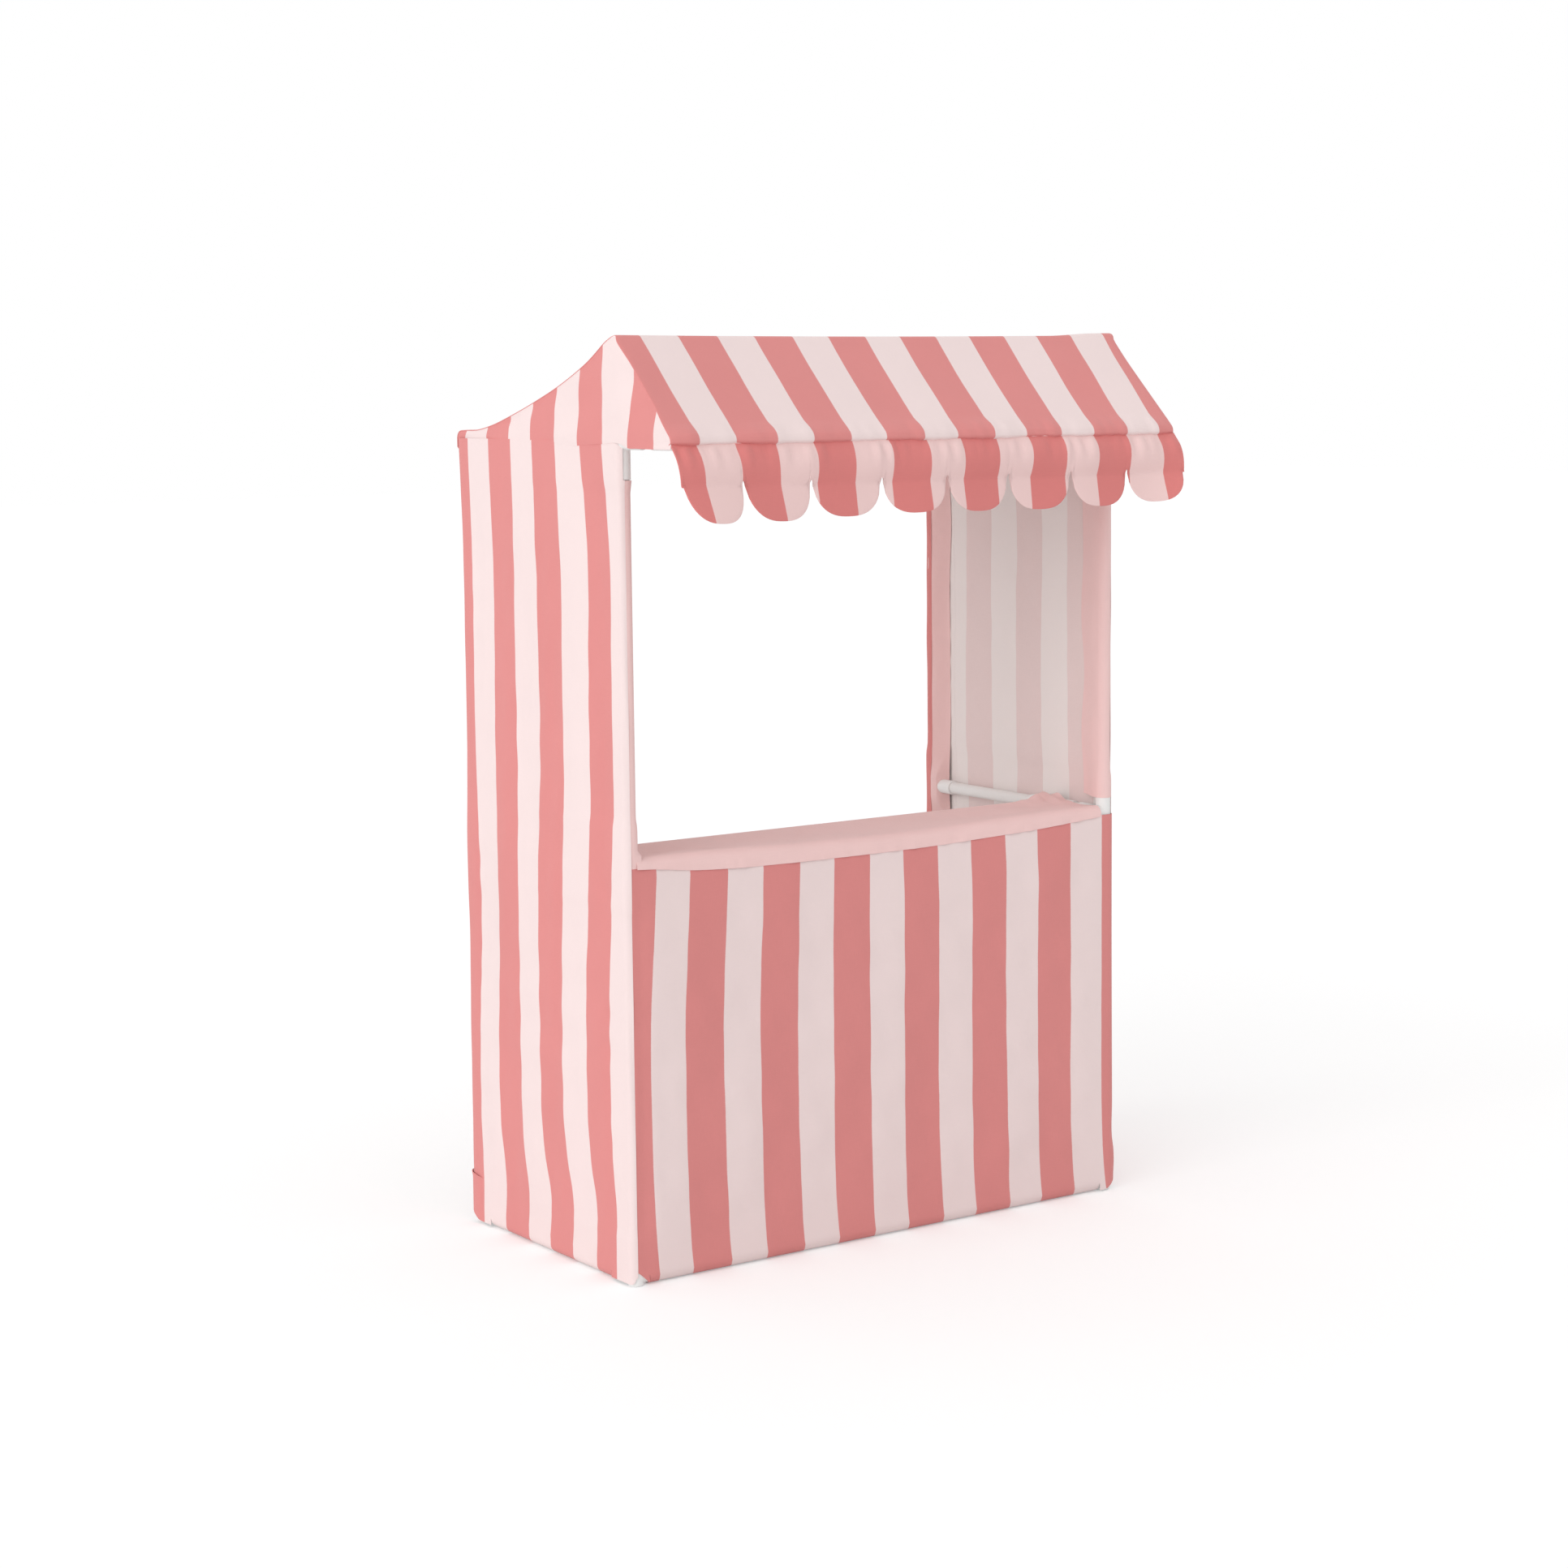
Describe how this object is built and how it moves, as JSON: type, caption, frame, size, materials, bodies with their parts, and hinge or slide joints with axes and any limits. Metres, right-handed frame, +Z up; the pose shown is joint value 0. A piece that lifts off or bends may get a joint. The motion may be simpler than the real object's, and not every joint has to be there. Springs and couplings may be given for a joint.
{
  "type": "children's play market stall",
  "caption": "Child-size pretend market stall: push-fit tube frame under a striped cloth cover with pitched roof, scalloped valance, cloth counter and open back.",
  "frame": {"origin": "centre of the bounding box in plan, on the floor", "axes": "+X to the right as the customer faces the counter, +Y to the open back, +Z up"},
  "size_m": [0.9368, 0.6466, 1.4014],
  "materials": {
    "white_tube": "satin white extruded plastic tube",
    "white_fitting": "fine-grained moulded white plastic",
    "striped_cloth": "woven polyester-cotton cloth with even pink and near-white stripes",
    "plain_cloth": "woven plain pink cloth"
  },
  "bodies": {
    "root": {"counter_back_bar": "white_tube", "counter_bar_tees": "white_fitting", "counter_cloth": "plain_cloth", "counter_front_bar": "white_tube", "counter_front_crosses": "white_fitting", "counter_rail_stubs": "white_tube", "counter_rear_tees": "white_fitting", "eave_arms": "white_tube", "eave_bar": "white_tube", "eave_elbows": "white_fitting", "front_base_corners": "white_fitting", "front_base_rail": "white_tube", "front_panel": "striped_cloth", "front_top_crosses": "white_fitting", "left_base_rail": "white_tube", "left_counter_rail": "white_tube", "left_front_post_lower": "white_tube", "left_front_post_upper": "white_tube", "left_gable": "striped_cloth", "left_post_sleeves": "striped_cloth", "left_rear_post_lower": "white_tube", "left_rear_post_upper": "white_tube", "left_side_panel": "striped_cloth", "left_top_rail": "white_tube", "rear_base_elbows": "white_fitting", "rear_top_bar": "white_tube", "rear_top_corners": "white_fitting", "ridge_bar": "white_tube", "ridge_elbows": "white_fitting", "ridge_risers": "white_tube", "right_base_rail": "white_tube", "right_counter_rail": "white_tube", "right_front_post_lower": "white_tube", "right_front_post_upper": "white_tube", "right_gable": "striped_cloth", "right_post_sleeves": "striped_cloth", "right_rear_post_lower": "white_tube", "right_rear_post_upper": "white_tube", "right_side_panel": "striped_cloth", "right_top_rail": "white_tube", "roof_channels": "plain_cloth", "roof_cloth": "striped_cloth", "valance": "striped_cloth"}
  },
  "joints": []
}
